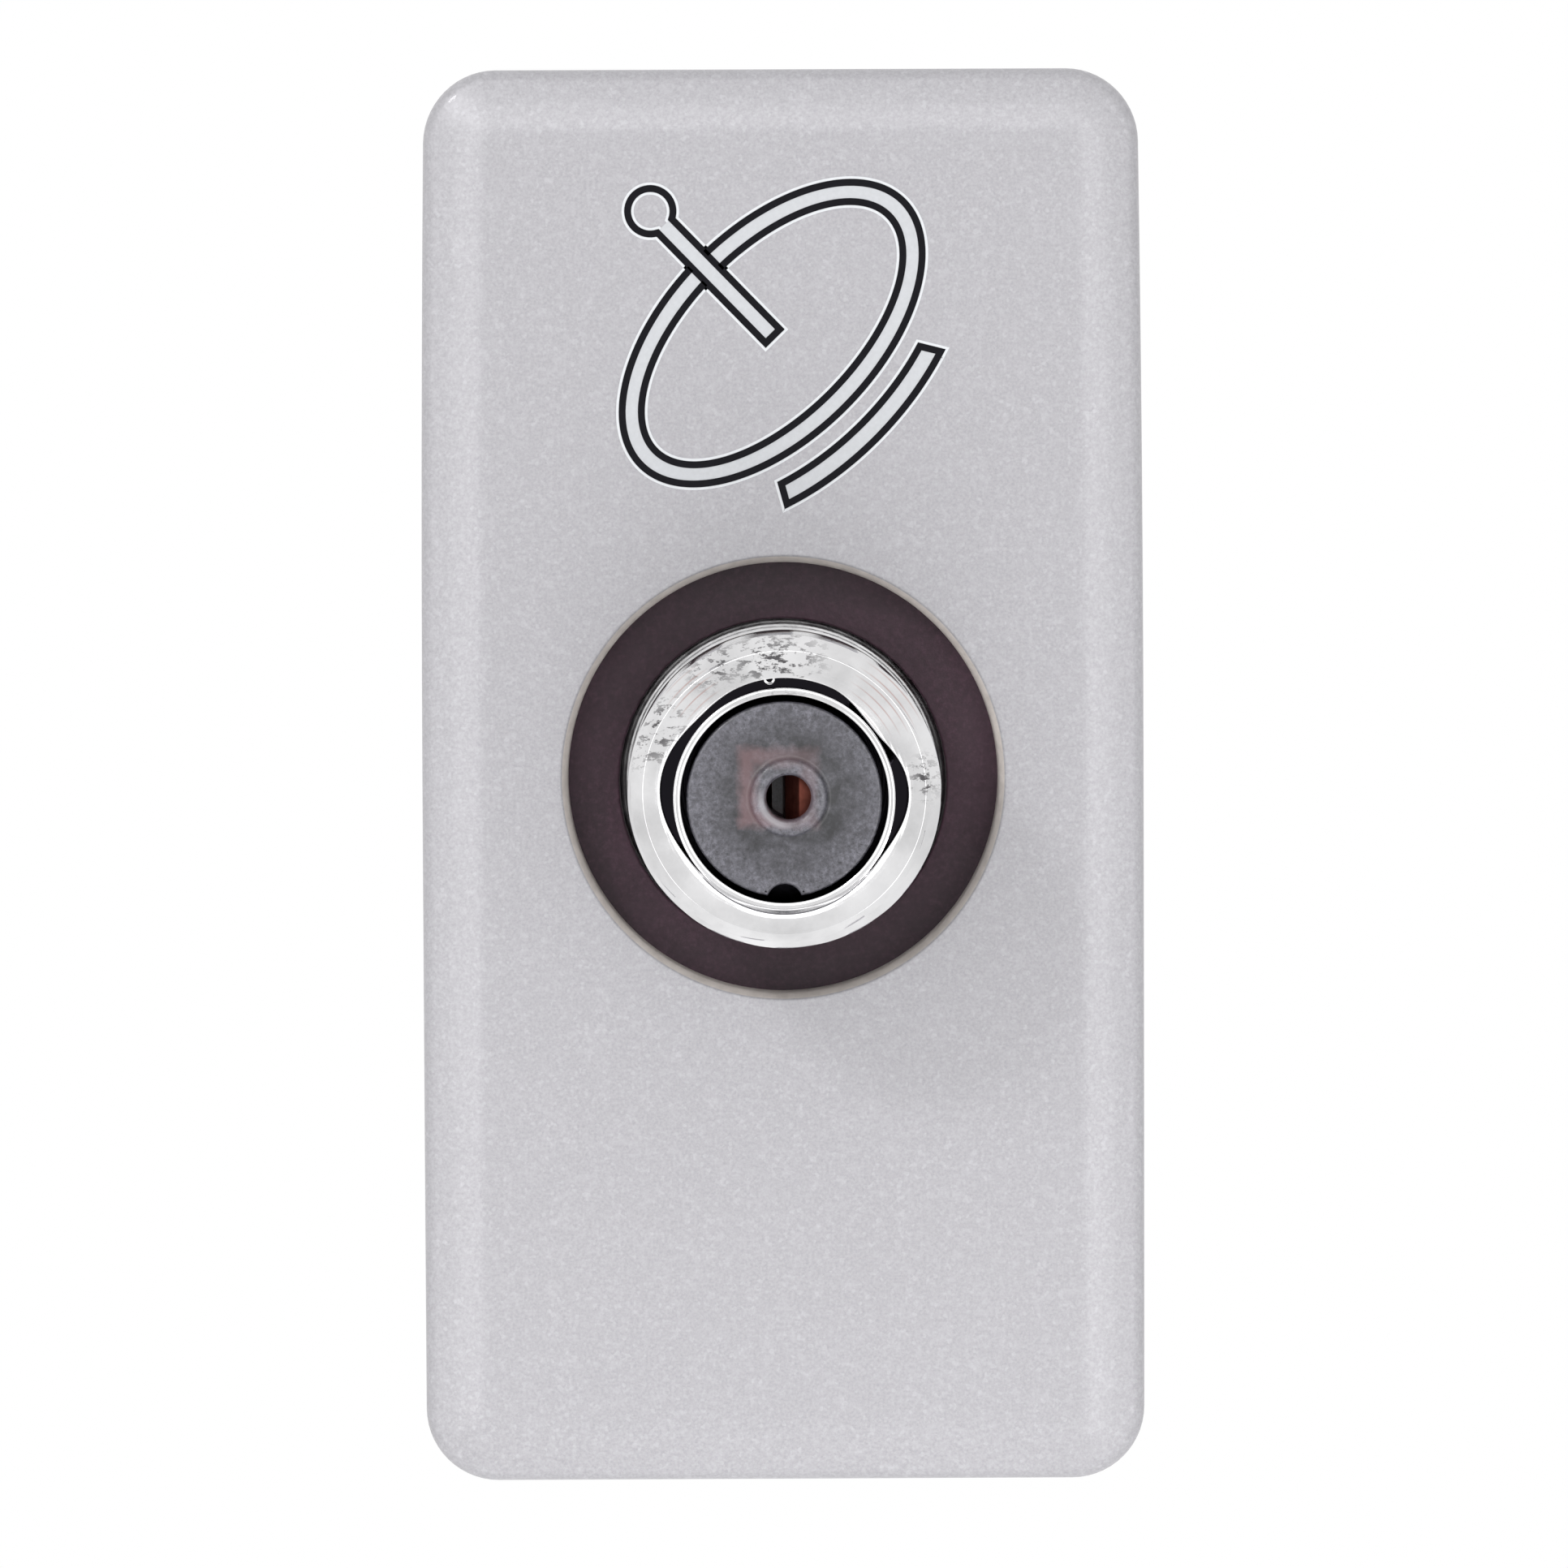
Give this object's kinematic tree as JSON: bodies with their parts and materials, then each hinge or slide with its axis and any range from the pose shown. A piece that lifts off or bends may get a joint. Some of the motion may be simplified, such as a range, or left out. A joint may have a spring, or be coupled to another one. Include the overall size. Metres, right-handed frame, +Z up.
{
  "type": "satellite outlet module",
  "caption": "Tall one-module clip-in satellite outlet: silver face, round opening with a protruding threaded F connector, dark body, shielded rear case with hinged door and screw clamp.",
  "frame": {"origin": "centre of the seat plane, where the rear of the insert's flange rests on the support frame; also the centre of the visible face in X and Z", "axes": "+X right and +Z up as seen from the room, +Y into the wall, so the visible face and the connector point along -Y"},
  "size_m": [0.0224, 0.0407, 0.0438],
  "materials": {
    "titanium_lacquer": "silver-titanium metallic lacquer on plastic, fine grain",
    "dark_plastic": "dark brown-black moulded plastic, fine texture",
    "nickel": "bright nickel plate",
    "zinc_casting": "light grey as-cast zinc, tumbled",
    "zinc_steel": "zinc-plated steel",
    "smoke_plastic": "smoky translucent plastic, fine speckle",
    "phosphor_bronze": "bare phosphor bronze",
    "white_plastic": "off-white moulded plastic",
    "board": "green solder mask over glass-fibre laminate",
    "ferrite": "dark sintered ferrite",
    "enamelled_copper": "enamelled copper wire",
    "capacitor_coat": "dipped ceramic disc, orange-brown",
    "resistor_body": "black glazed chip with tinned ends",
    "brass": "bare machined brass"
  },
  "bodies": {
    "housing": {"front_cover": "titanium_lacquer", "module_body": "dark_plastic", "diecast_case": "zinc_casting", "hinge_pin": "zinc_steel", "case_screw_upper": "zinc_steel", "case_screw_lower": "zinc_steel", "connector_shell": "nickel", "front_insulator": "smoke_plastic", "centre_contact": "phosphor_bronze", "rear_insulator": "white_plastic", "connector_lock_washer": "zinc_steel", "connector_nut": "nickel", "circuit_board": "board", "ferrite_core": "ferrite", "choke_coil": "enamelled_copper", "coupling_capacitor": "capacitor_coat", "chip_resistor": "resistor_body", "terminal_holder": "white_plastic", "terminal_block": "brass"},
    "latch_upper": {"latch_tongue_upper": "dark_plastic"},
    "latch_lower": {"latch_tongue_lower": "dark_plastic"},
    "door": {"rear_door": "zinc_casting"},
    "door_washer": {"door_screw_washer": "zinc_steel"},
    "door_fastener": {"door_screw": "zinc_steel"},
    "clamp_plate": {"terminal_clamp_plate": "zinc_steel"},
    "clamp_fastener": {"terminal_screw": "zinc_steel"}
  },
  "joints": [
    {"name": "latch_upper_flex", "type": "hinge", "parent": "housing", "child": "latch_upper", "pos_m": [0, 0.0084, 0.01915], "axis": [1, 0, 0], "range_deg": [0, 12], "stiffness_Nm_per_rad": 0.1},
    {"name": "latch_lower_flex", "type": "hinge", "parent": "housing", "child": "latch_lower", "pos_m": [0, 0.0084, -0.01915], "axis": [-1, 0, 0], "range_deg": [0, 12], "stiffness_Nm_per_rad": 0.1},
    {"name": "door_swing", "type": "hinge", "parent": "housing", "child": "door", "pos_m": [0, 0.0193, 0.017], "axis": [1, 0, 0], "range_deg": [0, 105]},
    {"name": "door_screw_advance", "type": "slide", "parent": "door", "child": "door_washer", "axis": [0, -1, 0], "range_m": [0, 0.003]},
    {"name": "door_screw_turn", "type": "hinge", "parent": "door_washer", "child": "door_fastener", "pos_m": [0.0066, 0.0205, -0.0122], "axis": [0, -1, 0], "range_deg": [0, 2401]},
    {"name": "clamp_advance", "type": "slide", "parent": "housing", "child": "clamp_plate", "axis": [0, -1, 0], "range_m": [0, 0.0018]},
    {"name": "clamp_screw_turn", "type": "hinge", "parent": "clamp_plate", "child": "clamp_fastener", "pos_m": [0, 0.016, 0.005], "axis": [0, -1, 0], "range_deg": [0, 1441]}
  ],
  "couplings": [
    {"joint": "door_screw_turn", "follows": "door_screw_advance", "rad_per_m": 13963},
    {"joint": "clamp_screw_turn", "follows": "clamp_advance", "rad_per_m": 13963}
  ]
}
